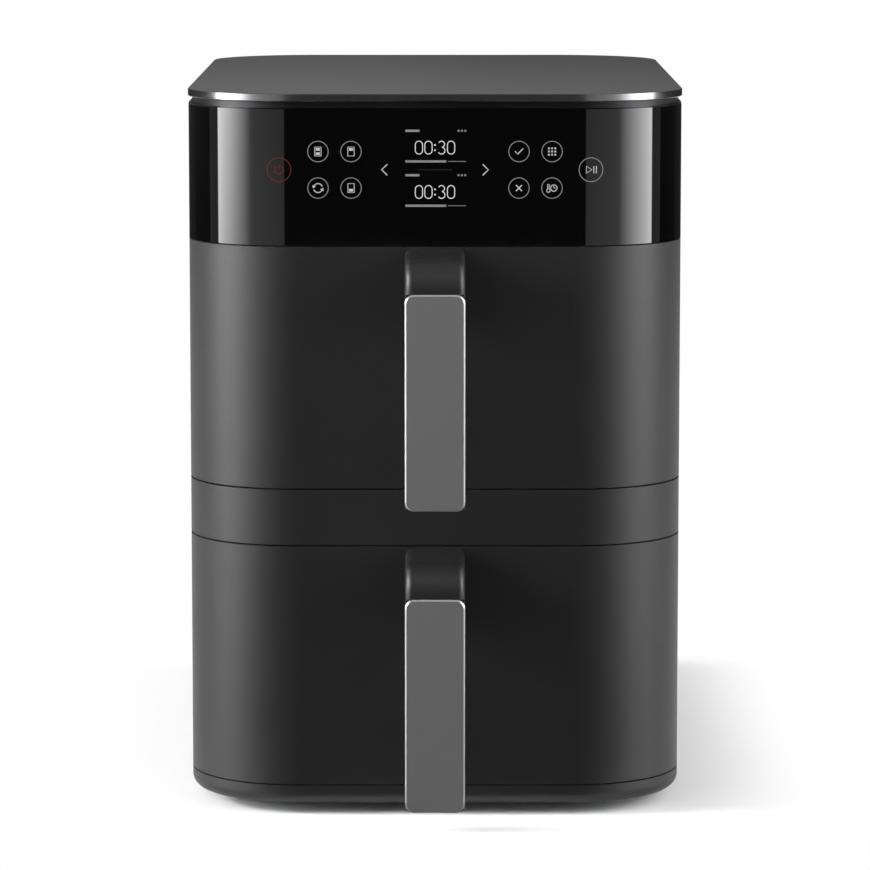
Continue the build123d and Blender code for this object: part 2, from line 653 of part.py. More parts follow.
def fan_shaft(z):
    """Motor shaft that carries the fan."""
    low = z + CHAMBER_INNER_TOP - FAN_DROP - FAN_DISC - FAN_BLADE_HEIGHT - NUT_HEIGHT
    return pillar(SHAFT_RADIUS, 0, FAN_Y, low, motor_seat(z) + MOTOR_HEIGHT)


def fan_nut(z):
    """Hexagon nut that holds the fan on its shaft."""
    top = z + CHAMBER_INNER_TOP - FAN_DROP - FAN_DISC - FAN_BLADE_HEIGHT
    hexagon = RegularPolygon(NUT_FLATS / 2, 6, major_radius=False) - Circle(SHAFT_RADIUS + SNUG)
    return slab(Pos(0, FAN_Y) * hexagon, top - NUT_HEIGHT, top)


def motor_bracket(z):
    """Plate on four legs that carries the motor over the ceiling."""
    seat = motor_seat(z)
    plate = Rectangle(BRACKET_WIDTH, BRACKET_DEPTH) - Circle(MOTOR_NOSE_RADIUS + FIT)
    bracket = slab(Pos(0, FAN_Y) * plate, seat - BRACKET_SHEET, seat)
    places = corner_pairs((BRACKET_WIDTH - BRACKET_LEG) / 2, FAN_Y - (BRACKET_DEPTH - BRACKET_LEG) / 2,
                          FAN_Y + (BRACKET_DEPTH - BRACKET_LEG) / 2)
    for x, y in places:
        bracket += post(BRACKET_LEG, x, y, z + CEILING_TOP, seat - BRACKET_SHEET / 2)
    return bracket


def fan_motor(z):
    """Flat motor can with a nose below and a cap above, bored for the shaft."""
    seat = motor_seat(z)
    motor = pillar(MOTOR_RADIUS, 0, FAN_Y, seat, seat + MOTOR_HEIGHT)
    motor += pillar(MOTOR_NOSE_RADIUS, 0, FAN_Y, seat - MOTOR_NOSE, seat)
    motor += pillar(MOTOR_CAP_RADIUS, 0, FAN_Y, seat + MOTOR_HEIGHT, seat + MOTOR_HEIGHT + MOTOR_CAP)
    bore = SHAFT_RADIUS + SHAFT_CLEARANCE
    return motor - pillar(bore, 0, FAN_Y, seat - 2 * MOTOR_NOSE, seat + MOTOR_HEIGHT + SHAFT_CLEARANCE)


# Sensors and boards
def temperature_probes():
    """One probe under each chamber's ceiling."""
    probes = []
    for z in (LOWER_Z, UPPER_Z):
        top = z + CHAMBER_INNER_TOP
        y = CHAMBER_REAR_Y - PROBE_REAR_GAP
        flange = pillar(PROBE_FLANGE_RADIUS, 0, y, top - PROBE_FLANGE, top)
        probes.append(flange + pillar(PROBE_RADIUS, 0, y, top - PROBE_LENGTH, top - PROBE_FLANGE / 2))
    return Compound(probes)


def thermal_fuses():
    """One cut-out on top of each chamber."""
    length, width, height = FUSE_SIZE
    fuses = []
    for z in (LOWER_Z, UPPER_Z):
        low = z + CEILING_TOP
        fuses.append(block(FUSE_OFFSET, FUSE_OFFSET + length, FAN_Y, FAN_Y + width, low, low + height))
    return Compound(fuses)


def drawer_sensors():
    """One reed switch behind the frame for each drawer."""
    height, depth, width = REED_SIZE
    switches = []
    for z in (LOWER_Z, UPPER_Z):
        middle = z + DRAWER_HEIGHT / 2
        switches.append(block(SENSOR_X - width / 2, SENSOR_X + width / 2, CHAMBER_Y, CHAMBER_Y + depth,
                              middle - height / 2, middle + height / 2))
    return Compound(switches)


def power_board():
    """Mains board on posts over the upper chamber, with its transformer, relays and capacitor."""
    low = UPPER_Z + CEILING_TOP
    face = low + POWER_BOARD_RISE + BOARD_THICKNESS
    y = FAN_Y + POWER_BOARD_OFFSET
    half_w, half_d = POWER_BOARD_WIDTH / 2, POWER_BOARD_DEPTH / 2
    board = block(-half_w, half_w, y - half_d, y + half_d, low + POWER_BOARD_RISE, face)
    reach = half_d - POWER_POST_INSET
    for post_x, post_y in corner_pairs(half_w - POWER_POST_INSET, y - reach, y + reach):
        board += post(POWER_POST, post_x, post_y, low, face)
    length, width, height = TRANSFORMER_SIZE
    board += block(-length, 0, y - width / 2, y + width / 2, face, face + height)
    length, width, height = RELAY_SIZE
    for step in (0, 1):
        x = length / 2 + step * (length + POWER_POST_INSET)
        board += block(x, x + length, y - width, y, face, face + height)
    board += pillar(CAPACITOR_RADIUS, length, y + 2 * CAPACITOR_RADIUS, face, face + CAPACITOR_HEIGHT)
    return board


# Drawers
def drawer_front(z):
    """Hollow front that wraps both corners, open behind, with bosses for its back plate and handle."""
    low, high = z + SEAM / 2, z + DRAWER_HEIGHT - SEAM / 2
    front = slab(front_plan(0, WRAP_REAR_Y), low, high)
    front = chamfer(front.edges().group_by(Axis.Z)[0] + front.edges().group_by(Axis.Z)[-1], DRAWER_EDGE)
    front -= slab(front_plan(DRAWER_WALL, WRAP_REAR_Y + CUT), low + DRAWER_WALL, high - DRAWER_WALL)
    for x in (-FRONT_BOSS_X, FRONT_BOSS_X):
        for boss_z in (low + FRONT_BOSS_EDGE, high - FRONT_BOSS_EDGE):
            boss = rod_y(FRONT_BOSS_RADIUS, x, boss_z, FRONT_Y, WRAP_REAR_Y - BACK_PLATE)
            front += boss - plan_outside(low, high)
    for x, screw_z in handle_screw_places(z):
        front -= rod_y(SCREW_RADIUS + FIT, x, screw_z, FRONT_Y - CUT, FRONT_Y + DRAWER_WALL + CUT)
    return front


def drawer_back_plate(z):
    """Inner plate that closes the front, with a plug that enters the chamber's mouth."""
    low, high = z + SEAM / 2 + DRAWER_WALL + FIT, z + DRAWER_HEIGHT - SEAM / 2 - DRAWER_WALL - FIT
    half = BODY_WIDTH / 2 - DRAWER_WALL - FIT
    plate = block(-half, half, WRAP_REAR_Y - BACK_PLATE, WRAP_REAR_Y, low, high)
    plug_half = CHAMBER_INNER_HALF - PLUG_SIDE_GAP
    plug_low, plug_high = z + CHAMBER_FLOOR_RISE + PLUG_SIDE_GAP, z + CHAMBER_INNER_TOP - PLUG_SIDE_GAP
    plate += tube_box(plug_half, WRAP_REAR_Y - BACK_PLATE, PLUG_REAR_Y, plug_low, plug_high, PLUG_CORNER)
    plate -= block(-plug_half + PLUG_CORNER, plug_half - PLUG_CORNER, WRAP_REAR_Y - 2 * BACK_PLATE,
                   PLUG_REAR_Y - PLUG_WALL, plug_low + PLUG_CORNER, plug_high - PLUG_CORNER)
    ledge_top = z + BASKET_RIM_TOP - BASKET_WALL
    plate += block(-LEDGE_HALF, LEDGE_HALF, PLUG_REAR_Y - PLUG_WALL, PLUG_REAR_Y + RIM_WIDTH - SEAM,
                   ledge_top - LEDGE_HEIGHT, ledge_top)
    groove = gasket_ring(z, WRAP_REAR_Y - BACK_PLATE / 2, WRAP_REAR_Y + CUT, FIT)
    return plate - groove


def gasket_ring(z, y0, y1, grow):
    """The seal's ring round the chamber's mouth, grown for the groove that holds it."""
    inner_half = CHAMBER_INNER_HALF + FIT
    low, high = z + CHAMBER_FLOOR_RISE - FIT, z + CHAMBER_INNER_TOP + FIT
    outer = tube_box(inner_half + GASKET_WIDTH + grow, y0, y1,
                     max(low - GASKET_WIDTH, z + DRAWER_WALL + SEAM) - grow,
                     min(high + GASKET_WIDTH, z + DRAWER_HEIGHT - DRAWER_WALL - SEAM) + grow,
                     GASKET_CORNER + GASKET_WIDTH)
    inner = tube_box(inner_half - grow, y0 - CUT, y1 + CUT,
                     low + FIT + grow, high - FIT - grow, GASKET_CORNER)
    return outer - inner


def drawer_gasket(z):
    """Silicone seal in the back plate's groove, a running gap short of the frame."""
    return gasket_ring(z, WRAP_REAR_Y - BACK_PLATE / 2, FRAME_Y - RUN, 0)


def basket_body(inset, top, floor_z, floor_radius):
    """A tapered tub with rounded corners and a rounded floor edge, drawn in by an even inset."""
    outline = RectangleRounded(2 * (BASKET_HALF - inset), BASKET_LENGTH - 2 * inset, BASKET_CORNER - inset)
    tub = extrude(Pos(0, BASKET_Y, top) * outline, top - floor_z, dir=(0, 0, -1), taper=BASKET_DRAFT)
    return fillet(tub.edges().group_by(Axis.Z)[0], floor_radius)


def basket(z):
    """Open basket with drafted walls and a rim that slides on the rails and meets the plug in front."""
    top = z + BASKET_RIM_TOP
    tub = basket_body(0, top, z + BASKET_FLOOR_RISE, BASKET_FLOOR_RADIUS)
    rim = RectangleRounded(2 * RIM_HALF, BASKET_LENGTH + 2 * RIM_WIDTH, BASKET_CORNER + RIM_WIDTH)
    tub += slab(Pos(0, BASKET_Y) * rim, top - BASKET_WALL, top)
    hollow = basket_body(BASKET_WALL, top, z + BASKET_FLOOR_RISE + BASKET_WALL,
                         BASKET_FLOOR_RADIUS - BASKET_WALL)
    return tub - hollow


def plate_half_sizes():
    """Half width and half length of the crisper plate, from the basket's drafted wall at its height."""
    drawn_in = (BASKET_RIM_TOP - PLATE_Z) * tan(radians(BASKET_DRAFT)) + BASKET_WALL + PLATE_GAP
    return BASKET_HALF - drawn_in, BASKET_LENGTH / 2 - drawn_in


def crisper_plate(z):
    """Slotted plate on four legs above the basket's floor."""
    half_w, half_l = plate_half_sizes()
    sheet = RectangleRounded(2 * half_w, 2 * half_l, PLATE_CORNER)
    grid = GridLocations(PLATE_SLOT_PITCH_X, PLATE_SLOT_PITCH_Y, PLATE_SLOT_COLUMNS, PLATE_SLOT_ROWS)
    sheet -= grid * Rectangle(PLATE_SLOT_LENGTH, PLATE_SLOT_WIDTH)
    low = z + PLATE_Z
    plate = slab(Pos(0, BASKET_Y) * sheet, low, low + PLATE_SHEET)
    floor = z + BASKET_FLOOR_RISE + BASKET_WALL + RUN
    leg_x, leg_y = half_w - PLATE_LEG_INSET, half_l - PLATE_LEG_INSET
    for x, y in corner_pairs(leg_x, BASKET_Y - leg_y, BASKET_Y + leg_y):
        plate += pillar(PLATE_LEG_RADIUS, x, y, floor, low)
    return plate


def crisper_bumpers(z):
    """Four silicone clips on the plate's edges, a running gap from the basket's walls."""
    half_w, half_l = plate_half_sizes()
    reach = PLATE_GAP - RUN - (BUMPER_HEIGHT / 2 + RUN) * tan(radians(BASKET_DRAFT))
    middle = z + PLATE_Z + PLATE_SHEET / 2
    clips = []
    for side in (-1, 1):
        for y in (BASKET_Y - half_l / 2, BASKET_Y + half_l / 2):
            edges = sorted((side * (half_w - BUMPER_GRIP), side * (half_w + reach)))
            clip = block(*edges, y - BUMPER_LENGTH / 2, y + BUMPER_LENGTH / 2,
                         middle - BUMPER_HEIGHT / 2, middle + BUMPER_HEIGHT / 2)
            slot = sorted((side * (half_w - 2 * BUMPER_GRIP), side * (half_w + FIT / 2)))
            slot_half = (PLATE_SHEET + FIT) / 2
            clips.append(clip - block(*slot, y - BUMPER_LENGTH, y + BUMPER_LENGTH,
                                      middle - slot_half, middle + slot_half))
    return Compound(clips)


# Handles
def handle_screw_places(z):
    """The two screws that hold a handle to its drawer front."""
    screw_z = z + DRAWER_HEIGHT - HANDLE_SCREW_DROP
    return [(x, screw_z) for x in (-HANDLE_SCREW_X, HANDLE_SCREW_X)]


def handle_arm(z):
    """Arm and grip in one moulding: out from the drawer's top edge, over a rounded nose, and down."""
    top, foot = z + DRAWER_HEIGHT, z - HANDLE_PLATE_OVERHANG
    rebate = HANDLE_REACH - HANDLE_PLATE_THICKNESS
    nose = HANDLE_REACH - HANDLE_PLATE_PROUD
    back = HANDLE_REACH - HANDLE_GRIP_THICKNESS
    ledge = top - HANDLE_PLATE_DROP
    side_view = [
        (0, top - HANDLE_TOP_DROP),
        (nose, top - HANDLE_NOSE_DROP),
        (nose, ledge),
        (rebate, ledge),
        (rebate, foot),
        (back, foot),
        (back, top - HANDLE_ARM_UNDER),
        (0, top - HANDLE_ARM_ROOT),
    ]
    corners = [(0, FRONT_Y - reach, height) for reach, height in side_view]
    radii = {1: HANDLE_NOSE_RADIUS, 5: HANDLE_FOOT_RADIUS, 6: HANDLE_INNER_RADIUS}
    face = make_face(Polyline(*corners, close=True))
    for index, radius in radii.items():
        corner = face.vertices().sort_by_distance(corners[index])[0]
        face = fillet(corner, radius)
    arm = extrude(face, HANDLE_WIDTH / 2, both=True, dir=(1, 0, 0))
    side_edges = arm.edges().filter_by(lambda e: abs(abs(e.center().X) - HANDLE_WIDTH / 2) < 1e-6)
    over = side_edges.filter_by(lambda e: e.center().Z > ledge and e.center().Y < FRONT_Y - FIT
                                and not on_underside(e, top))
    arm = fillet(over, HANDLE_SIDE_RADIUS)
    grip_back = arm.edges().filter_by(Axis.Z).filter_by(
        lambda e: abs(e.center().Y - (FRONT_Y - back)) < 1e-6)
    arm = fillet(grip_back, HANDLE_BACK_RADIUS)
    for x, screw_z in handle_screw_places(z):
        arm -= rod_y(SCREW_RADIUS + SNUG, x, screw_z, FRONT_Y - SCREW_LENGTH, FRONT_Y + CUT)
    return arm


def on_underside(edge, top):
    """Whether an edge of the arm belongs to its lower side."""
    return edge.center().Z < top - HANDLE_ARM_UNDER + HANDLE_INNER_RADIUS


def handle_plate(z):
    """Metal facing let into the front of the grip."""
    height = DRAWER_HEIGHT - HANDLE_PLATE_DROP + HANDLE_PLATE_OVERHANG
    outline = RectangleRounded(HANDLE_WIDTH, height, HANDLE_PLATE_CORNER)
    plate = extrude(Plane.XZ * outline, HANDLE_PLATE_THICKNESS)
    plate = chamfer(plate.edges().group_by(Axis.Y)[0], HANDLE_PLATE_EDGE)
    middle = z - HANDLE_PLATE_OVERHANG + height / 2
    return Pos(0, FRONT_Y - HANDLE_REACH + HANDLE_PLATE_THICKNESS, middle) * plate


def handle_screws(z):
    """Two screws from inside the drawer front into the arm."""
    seat = FRONT_Y + DRAWER_WALL
    return Compound([screw_y(x, screw_z, seat, -1) for x, screw_z in handle_screw_places(z)])


def drawer_magnet(z):
    """Magnet behind the drawer's back plate, in line with the reed switch."""
    length, depth, height = MAGNET_SIZE
    middle = z + DRAWER_HEIGHT / 2
    y1 = WRAP_REAR_Y - BACK_PLATE
    return block(SENSOR_X - length, SENSOR_X, y1 - depth, y1, middle - height / 2, middle + height / 2)


PIECES = {
    "base_tray": base_tray(),
    "rubber_feet": rubber_feet(),
    "left_side_panel": side_panel(-1),
    "right_side_panel": side_panel(1),
    "rear_cover": rear_cover(),
    "cord_gland": cord_gland(),
    "cover_screws": cover_screws(),
    "centre_band": centre_band(),
    "control_glass": control_glass(),
    "panel_carrier": panel_carrier(),
    "display_module": display_module(),
    "touch_board": touch_board(),
    "lid_neck": lid_neck(),
    "top_lid": top_lid(),
    "front_frame": front_frame(),
    "temperature_probes": temperature_probes(),
    "thermal_fuses": thermal_fuses(),
    "drawer_sensors": drawer_sensors(),
    "power_board": power_board(),
}
for prefix, level in (("upper", UPPER_Z), ("lower", LOWER_Z)):
    PIECES[f"{prefix}_chamber"] = chamber(level)
    PIECES[f"{prefix}_rails"] = rails(level)
    PIECES[f"{prefix}_exhaust_duct"] = exhaust_duct(level)
    PIECES[f"{prefix}_heating_element"] = heating_element(level)
    PIECES[f"{prefix}_heater_guard"] = heater_guard(level)
    PIECES[f"{prefix}_fan"] = fan(level)
    PIECES[f"{prefix}_fan_shaft"] = fan_shaft(level)
    PIECES[f"{prefix}_fan_nut"] = fan_nut(level)
    PIECES[f"{prefix}_fan_motor"] = fan_motor(level)
    PIECES[f"{prefix}_motor_bracket"] = motor_bracket(level)
    PIECES[f"{prefix}_drawer_front"] = drawer_front(level)
    PIECES[f"{prefix}_drawer_back_plate"] = drawer_back_plate(level)
    PIECES[f"{prefix}_drawer_gasket"] = drawer_gasket(level)
    PIECES[f"{prefix}_drawer_magnet"] = drawer_magnet(level)
    PIECES[f"{prefix}_basket"] = basket(level)
    PIECES[f"{prefix}_crisper_plate"] = crisper_plate(level)
    PIECES[f"{prefix}_crisper_bumpers"] = crisper_bumpers(level)
    PIECES[f"{prefix}_handle_arm"] = handle_arm(level)
    PIECES[f"{prefix}_handle_plate"] = handle_plate(level)
    PIECES[f"{prefix}_handle_screws"] = handle_screws(level)

os.makedirs("parts", exist_ok=True)
for name, piece in PIECES.items():
    export_step(piece, f"parts/{name}.step")
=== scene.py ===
import json
import math

import bpy
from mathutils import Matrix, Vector


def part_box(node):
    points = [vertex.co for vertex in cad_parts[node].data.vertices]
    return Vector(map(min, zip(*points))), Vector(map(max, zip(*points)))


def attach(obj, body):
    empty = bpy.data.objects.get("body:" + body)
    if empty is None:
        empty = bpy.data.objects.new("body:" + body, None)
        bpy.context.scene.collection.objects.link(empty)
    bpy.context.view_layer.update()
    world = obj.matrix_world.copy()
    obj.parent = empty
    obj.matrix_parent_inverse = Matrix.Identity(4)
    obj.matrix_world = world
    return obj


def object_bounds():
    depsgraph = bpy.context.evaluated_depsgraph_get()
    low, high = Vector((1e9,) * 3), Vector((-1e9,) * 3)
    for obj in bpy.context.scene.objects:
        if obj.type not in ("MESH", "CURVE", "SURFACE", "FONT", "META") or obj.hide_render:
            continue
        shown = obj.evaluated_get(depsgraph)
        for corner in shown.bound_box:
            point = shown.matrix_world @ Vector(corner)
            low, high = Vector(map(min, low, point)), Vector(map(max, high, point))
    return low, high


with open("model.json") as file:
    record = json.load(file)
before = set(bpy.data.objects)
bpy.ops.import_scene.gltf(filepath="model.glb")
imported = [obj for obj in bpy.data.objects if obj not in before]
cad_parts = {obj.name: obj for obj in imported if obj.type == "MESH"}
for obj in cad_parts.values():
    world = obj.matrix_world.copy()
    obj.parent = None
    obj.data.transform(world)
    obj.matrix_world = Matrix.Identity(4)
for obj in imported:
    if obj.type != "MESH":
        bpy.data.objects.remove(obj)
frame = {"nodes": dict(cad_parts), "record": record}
cad_low, cad_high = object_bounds()
nodes = frame["nodes"]

# Places read from the CAD, in metres
glass_low, glass_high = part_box("control_glass")
FRONT_Y = glass_low.y
PANEL_TOP = glass_high.z
HALF_WIDTH = glass_high.x

# The CAD's corner radius, and how far the symbols stand off the glass, in metres
CORNER_RADIUS, ICON_LIFT = 0.060, 0.00012
CORNER_X = HALF_WIDTH - CORNER_RADIUS
CORNER_Y = FRONT_Y + CORNER_RADIUS

# Depth of the bump maps in metres, the span of the noise and the size of its clouds in grains
BUMP_DEPTH = 0.0002
NOISE_LOW, NOISE_HIGH = 0.3, 0.7
CLOUD_SIZE = 40

# Up to the first share of its normal along an axis a surface is an edge, from the second a face
EDGE_FROM, FACE_FROM = 0.90, 0.95


# Shader helpers
def new_material(name):
    """A material with one shader joined to its output: the material, its tree and the shader."""
    material = bpy.data.materials.new(name)
    material.use_nodes = True
    tree = material.node_tree
    tree.nodes.clear()
    output = tree.nodes.new("ShaderNodeOutputMaterial")
    shader = tree.nodes.new("ShaderNodeBsdfPrincipled")
    tree.links.new(shader.outputs["BSDF"], output.inputs["Surface"])
    return material, tree, shader


def object_noise(tree, scale, detail=3.0, stretch=None):
    """Noise in the object's own coordinates; stretch draws it out into streaks."""
    coordinates = tree.nodes.new("ShaderNodeTexCoord")
    source = coordinates.outputs["Object"]
    if stretch:
        mapping = tree.nodes.new("ShaderNodeMapping")
        mapping.inputs["Scale"].default_value = stretch
        tree.links.new(source, mapping.inputs["Vector"])
        source = mapping.outputs["Vector"]
    noise = tree.nodes.new("ShaderNodeTexNoise")
    noise.inputs["Scale"].default_value = scale
    noise.inputs["Detail"].default_value = detail
    tree.links.new(source, noise.inputs["Vector"])
    return noise


def ramp(tree, factor, stops):
    """A colour ramp over a factor; stops are (position, grey or colour)."""
    node = tree.nodes.new("ShaderNodeValToRGB")
    elements = node.color_ramp.elements
    while len(elements) < len(stops):
        elements.new(0.5)
    for element, (position, colour) in zip(elements, stops):
        element.position = position
        rgb = colour if isinstance(colour, tuple) else (colour, colour, colour)
        element.color = (*rgb, 1.0)
    tree.links.new(factor, node.inputs["Fac"])
    return node.outputs["Color"]


def bump(tree, shader, height, strength):
    """Fine relief from a height."""
    node = tree.nodes.new("ShaderNodeBump")
    node.inputs["Strength"].default_value = strength
    node.inputs["Distance"].default_value = BUMP_DEPTH
    tree.links.new(height, node.inputs["Height"])
    tree.links.new(node.outputs["Normal"], shader.inputs["Normal"])


def grained(name, dark, light, rough, grain, relief, metallic=0.0, stretch=None):
    """A surface whose colour, gloss and relief vary with a fine grain and a broad cloud."""
    material, tree, shader = new_material(name)
    fine = object_noise(tree, grain, 4.0, stretch)
    broad = object_noise(tree, grain / CLOUD_SIZE, 2.0)
    low, high = rough
    colour = ramp(tree, broad.outputs["Fac"], [(NOISE_LOW, dark), (NOISE_HIGH, light)])
    gloss = ramp(tree, fine.outputs["Fac"], [(NOISE_LOW, low), (NOISE_HIGH, high)])
    tree.links.new(colour, shader.inputs["Base Color"])
    tree.links.new(gloss, shader.inputs["Roughness"])
    shader.inputs["Metallic"].default_value = metallic
    bump(tree, shader, fine.outputs["Fac"], relief)
    return material


def edge_bright(name, face, edge, axis, rough_face, rough_edge, metallic, grain, relief, tint):
    """Satin metal, brighter on its edges, the faces turned away from one axis; tint dims glancing shine."""
    material, tree, shader = new_material(name)
    geometry = tree.nodes.new("ShaderNodeNewGeometry")
    split = tree.nodes.new("ShaderNodeSeparateXYZ")
    tree.links.new(geometry.outputs["True Normal"], split.inputs["Vector"])
    size = tree.nodes.new("ShaderNodeMath")
    size.operation = "ABSOLUTE"
    tree.links.new(split.outputs[axis], size.inputs[0])
    fine = object_noise(tree, grain, 4.0)
    colour = ramp(tree, size.outputs["Value"], [(EDGE_FROM, edge), (FACE_FROM, face)])
    gloss = ramp(tree, size.outputs["Value"], [(EDGE_FROM, rough_edge), (FACE_FROM, rough_face)])
    tree.links.new(colour, shader.inputs["Base Color"])
    tree.links.new(gloss, shader.inputs["Roughness"])
    shader.inputs["Metallic"].default_value = metallic
    shader.inputs["Specular Tint"].default_value = (tint, tint, tint, 1.0)
    bump(tree, shader, fine.outputs["Fac"], relief)
    return material


# Materials, one for each of the record's slots. A grained one lists its dark and light colour, its
# roughness from and to, its grain, its relief, how metallic it is and how its grain is drawn out.
# An edge-bright one lists its face and edge colour, the axis its faces look along, the roughness of
# both, how metallic it is, its grain, its relief and its tint, which is 1 where nothing is dimmed
MATERIALS = {
    "casing_plastic": grained(
        "casing_plastic", (0.0050, 0.0051, 0.0053), (0.0070, 0.0071, 0.0074), (0.40, 0.52), 1500.0, 0.30),
    "black_plastic": grained(
        "black_plastic", (0.008, 0.008, 0.009), (0.012, 0.012, 0.013), (0.35, 0.50), 900.0, 0.05),
    "panel_glass": grained(
        "panel_glass", (0.0012, 0.0012, 0.0014), (0.0016, 0.0016, 0.0018), (0.015, 0.025), 120.0, 0.0),
    "lid_metal": edge_bright(
        "lid_metal", (0.112, 0.113, 0.116), (0.24, 0.24, 0.245), "Z", 0.32, 0.20, 1.0, 1200.0, 0.10,
        0.8),
    "neck_metal": grained(
        "neck_metal", (0.026, 0.0265, 0.028), (0.038, 0.0385, 0.040), (0.34, 0.44), 900.0, 0.04, 1.0,
        (0.05, 0.05, 1)),
    "handle_metal": edge_bright(
        "handle_metal", (0.170, 0.171, 0.174), (0.36, 0.36, 0.365), "Y", 0.48, 0.30, 0.5, 1200.0, 0.20,
        1.0),
    "rubber": grained(
        "rubber", (0.010, 0.010, 0.010), (0.016, 0.016, 0.016), (0.70, 0.85), 1200.0, 0.15),
    "silicone": grained(
        "silicone", (0.030, 0.030, 0.032), (0.042, 0.042, 0.044), (0.50, 0.65), 800.0, 0.05),
    "sheet_steel": grained(
        "sheet_steel", (0.40, 0.40, 0.40), (0.52, 0.52, 0.52), (0.24, 0.40), 500.0, 0.04, 1.0,
        (1, 0.03, 1)),
    "heater_steel": grained(
        "heater_steel", (0.07, 0.055, 0.045), (0.16, 0.13, 0.11), (0.40, 0.60), 400.0, 0.08, 1.0),
    "motor_metal": grained(
        "motor_metal", (0.32, 0.32, 0.30), (0.45, 0.45, 0.43), (0.30, 0.45), 300.0, 0.05, 1.0),
    "nonstick": grained(
        "nonstick", (0.012, 0.012, 0.012), (0.022, 0.022, 0.022), (0.28, 0.48), 1400.0, 0.12),
    "aluminium": grained(
        "aluminium", (0.60, 0.60, 0.60), (0.72, 0.72, 0.72), (0.25, 0.40), 500.0, 0.04, 1.0),
    "screw_steel": grained(
        "screw_steel", (0.30, 0.30, 0.31), (0.42, 0.42, 0.43), (0.25, 0.40), 900.0, 0.05, 1.0),
    "magnet": grained(
        "magnet", (0.10, 0.10, 0.10), (0.16, 0.16, 0.16), (0.40, 0.60), 700.0, 0.10, 1.0),
    "circuit_board": grained(
        "circuit_board", (0.008, 0.050, 0.022), (0.014, 0.080, 0.036), (0.40, 0.60), 600.0, 0.05),
}
for entry in frame["record"]["subparts"]:
    mesh = nodes[entry["node"]].data
    mesh.materials.clear()
    mesh.materials.append(MATERIALS[entry["material_slot"]])


SYMBOL_ROUGH, SYMBOL_GRAIN, DIM_SHARE = 0.3, 300.0, 0.8


def lit(name, colour, strength):
    """A symbol lit from behind, a little uneven across its strokes."""
    material, tree, shader = new_material(name)
    shader.inputs["Base Color"].default_value = (0.0, 0.0, 0.0, 1.0)
    shader.inputs["Roughness"].default_value = SYMBOL_ROUGH
    uneven = object_noise(tree, SYMBOL_GRAIN)
    dim = tuple(DIM_SHARE * value for value in colour)
    glow = ramp(tree, uneven.outputs["Fac"], [(NOISE_LOW, dim), (NOISE_HIGH, colour)])
    tree.links.new(glow, shader.inputs["Emission Color"])
    shader.inputs["Emission Strength"].default_value = strength
    return material


BRIGHT_LIGHT = lit("bright_symbol", (0.86, 0.87, 0.89), 0.9)
WHITE_LIGHT = lit("white_symbol", (0.75, 0.76, 0.78), 0.75)
GREY_LIGHT = lit("grey_symbol", (0.75, 0.76, 0.78), 0.35)
FAINT_LIGHT = lit("faint_symbol", (0.75, 0.76, 0.78), 0.02)
RED_LIGHT = lit("red_symbol", (0.50, 0.05, 0.03), 0.30)


# Panel symbols: flat strokes laid on the glass, which curves away past its flat front
def on_glass(x, z):
    """The point on the glass in front of a panel place."""
    past = max(abs(x) - CORNER_X, 0.0)
    back = CORNER_RADIUS - math.sqrt(CORNER_RADIUS ** 2 - past ** 2)
    return (x, FRONT_Y + back - ICON_LIFT, z)


class Symbol:
    """Collects strokes and filled shapes in panel millimetres round one centre."""

    def __init__(self, name, x, z):
        self.name, self.x, self.z = name, x, z
        self.points, self.faces = [], []

    def add(self, outline):
        """One filled polygon."""
        start = len(self.points)
        self.points += [on_glass((self.x + x) / 1000, (self.z + z) / 1000) for x, z in outline]
        self.faces.append(range(start, start + len(outline)))

    def stroke(self, path, width, closed=False):
        """A line of even width through the path's points."""
        count = len(path)
        sides = []
        for index, (x, z) in enumerate(path):
            before = path[index - 1] if closed or index else path[index]
            after = path[(index + 1) % count] if closed or index < count - 1 else path[index]
            along_x, along_z = after[0] - before[0], after[1] - before[1]
            length = math.hypot(along_x, along_z) or 1.0
            off_x, off_z = -along_z / length * width / 2, along_x / length * width / 2
            sides.append(((x + off_x, z + off_z), (x - off_x, z - off_z)))
        for index in range(count if closed else count - 1):
            (left, right), (next_left, next_right) = sides[index], sides[(index + 1) % count]
            self.add([left, right, next_right, next_left])

    def ring(self, radius, width, x=0.0, z=0.0, steps=40):
        """A thin circle."""
        self.stroke(arc(radius, 0, 360 - 360 / steps, steps - 1, x, z), width, closed=True)

    def bar(self, left, right, bottom, top):
        """A filled rectangle."""
        self.add([(left, bottom), (left, top), (right, top), (right, bottom)])

    def build(self, material):
        """Makes the mesh and lets it ride on the housing."""
        mesh = bpy.data.meshes.new(self.name)
        mesh.from_pydata(self.points, [], [list(face) for face in self.faces])
        mesh.materials.append(material)
        piece = bpy.data.objects.new(self.name, mesh)
        bpy.context.scene.collection.objects.link(piece)
        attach(piece, "housing")


def arc(radius, start, sweep, steps, x=0.0, z=0.0):
    """Points along a circular arc, in degrees from +X."""
    angles = [math.radians(start + sweep * step / steps) for step in range(steps + 1)]
    return [(x + radius * math.cos(angle), z + radius * math.sin(angle)) for angle in angles]


# Places on the panel, in millimetres
TOP = PANEL_TOP * 1000
ROW_HIGH, ROW_MIDDLE, ROW_LOW = TOP - 23.1, TOP - 32.9, TOP - 42.7
INNER_KEY_X, OUTER_KEY_X, CHEVRON_X, END_KEY_X = 45.0, 62.7, 27.1, 83.6
KEY_RING, END_RING = 5.5, 6.4
HAIR_LINE, THIN_LINE, PLAIN_LINE, BOLD_LINE, WIDE_LINE = 0.40, 0.45, 0.50, 0.55, 0.60
SHELF_RISE = 1.15
TURN_RADIUS, TURN_SWEEP, ARROW_LENGTH = 2.4, 130, 1.5
DOT_PITCH, DOT_HALF = 1.7, 0.45

